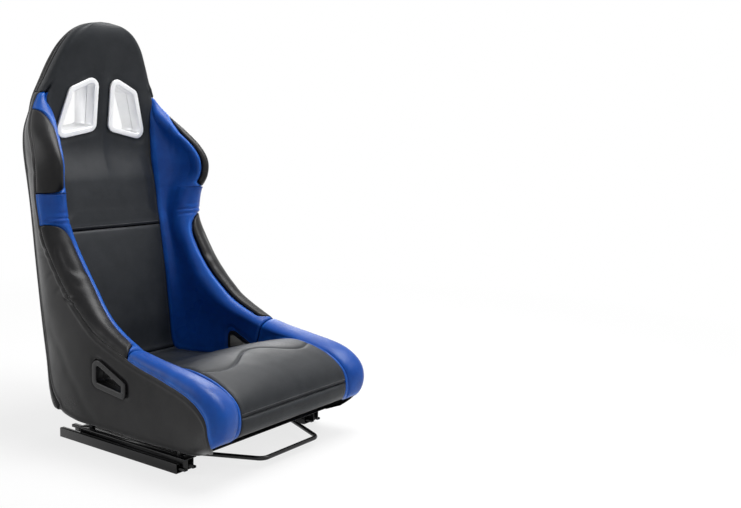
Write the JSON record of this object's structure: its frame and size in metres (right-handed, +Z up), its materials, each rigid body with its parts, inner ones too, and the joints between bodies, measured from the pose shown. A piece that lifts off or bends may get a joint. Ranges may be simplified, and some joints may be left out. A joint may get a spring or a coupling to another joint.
{
  "type": "racing seat",
  "caption": "Fixed-back bucket racing seat with padded wings, belt openings and a pair of sliding floor rails worked by a lift-up handle.",
  "frame": {"origin": "centre of the four floor bolt holes, on the floor under the rails", "axes": "-Y is the way the sitter faces, +X the sitter's left, +Z up"},
  "size_m": [0.5136, 0.7103, 0.955],
  "materials": {
    "black_leather": "satin grained",
    "back_leather": "satin grained",
    "blue_leather": "satin grained",
    "silver_bezel": "silver-white, glossy",
    "black_bezel": "semi-gloss",
    "black_steel": "gloss black powder coat",
    "bare_steel": "zinc plated",
    "cage_plastic": "natural nylon",
    "shell_plastic": "matte black"
  },
  "bodies": {
    "floor_rails": {"lower_rail_right": "black_steel", "lower_rail_left": "black_steel", "lock_rack_right": "black_steel", "lock_rack_left": "black_steel"},
    "seat": {"back_cover": "back_leather", "head_band": "black_leather", "side_cover_right": "black_leather", "side_cover_left": "black_leather", "structural_shell": "shell_plastic", "upper_back_pad": "black_leather", "lower_back_pad": "black_leather", "wing_pad_right": "blue_leather", "wing_pad_left": "blue_leather", "shoulder_edge_pad_right": "black_leather", "shoulder_edge_pad_left": "black_leather", "waist_edge_pad_right": "black_leather", "waist_edge_pad_left": "black_leather", "thigh_bolster_right": "blue_leather", "thigh_bolster_left": "blue_leather", "seat_cushion": "black_leather", "cushion_front": "black_leather", "harness_bezel_front_right": "silver_bezel", "harness_bezel_front_left": "silver_bezel", "harness_bezel_rear_right": "silver_bezel", "harness_bezel_rear_left": "silver_bezel", "belt_bezel_outer_right": "black_bezel", "belt_bezel_outer_left": "black_bezel", "belt_bezel_inner_right": "black_bezel", "belt_bezel_inner_left": "black_bezel", "insert_plate_right": "bare_steel", "insert_plate_left": "bare_steel", "seat_spacers": "black_steel", "seat_bolts": "bare_steel", "upper_rail_right": "black_steel", "upper_rail_left": "black_steel", "pivot_bracket_right": "black_steel", "pivot_bracket_left": "black_steel", "pivot_pins_right": "bare_steel", "pivot_pins_left": "bare_steel", "latch_spring_right": "bare_steel", "latch_spring_left": "bare_steel"},
    "roller_set": {"rollers_right": "bare_steel", "rollers_left": "bare_steel", "roller_cage_right": "cage_plastic", "roller_cage_left": "cage_plastic"},
    "handle": {"towel_bar": "black_steel", "release_arm_right": "black_steel", "release_arm_left": "black_steel"},
    "pawl_right": {"latch_pawl_right": "black_steel"},
    "pawl_left": {"latch_pawl_left": "black_steel"}
  },
  "joints": [
    {"name": "seat_slide", "type": "slide", "parent": "floor_rails", "child": "seat", "axis": [0, 1, 0], "range_m": [-0.06, 0.09]},
    {"name": "roller_slide", "type": "slide", "parent": "floor_rails", "child": "roller_set", "axis": [0, 1, 0], "range_m": [-0.031, 0.046]},
    {"name": "handle_lift", "type": "hinge", "parent": "seat", "child": "handle", "pos_m": [0, -0.095, 0.02], "axis": [-1, 0, 0], "range_deg": [0, 6.5], "stiffness_Nm_per_rad": 4, "springref_deg": -17.19},
    {"name": "pawl_right_lift", "type": "hinge", "parent": "seat", "child": "pawl_right", "pos_m": [-0.188, -0.02, 0.0245], "axis": [1, 0, 0], "range_deg": [-0.1, 6.7]},
    {"name": "pawl_left_lift", "type": "hinge", "parent": "seat", "child": "pawl_left", "pos_m": [0.188, -0.02, 0.0245], "axis": [1, 0, 0], "range_deg": [-0.1, 6.7]}
  ],
  "couplings": [
    {"joint": "roller_slide", "follows": "seat_slide", "ratio": 0.5},
    {"joint": "pawl_right_lift", "follows": "handle_lift", "ratio": 1},
    {"joint": "pawl_left_lift", "follows": "handle_lift", "ratio": 1}
  ]
}
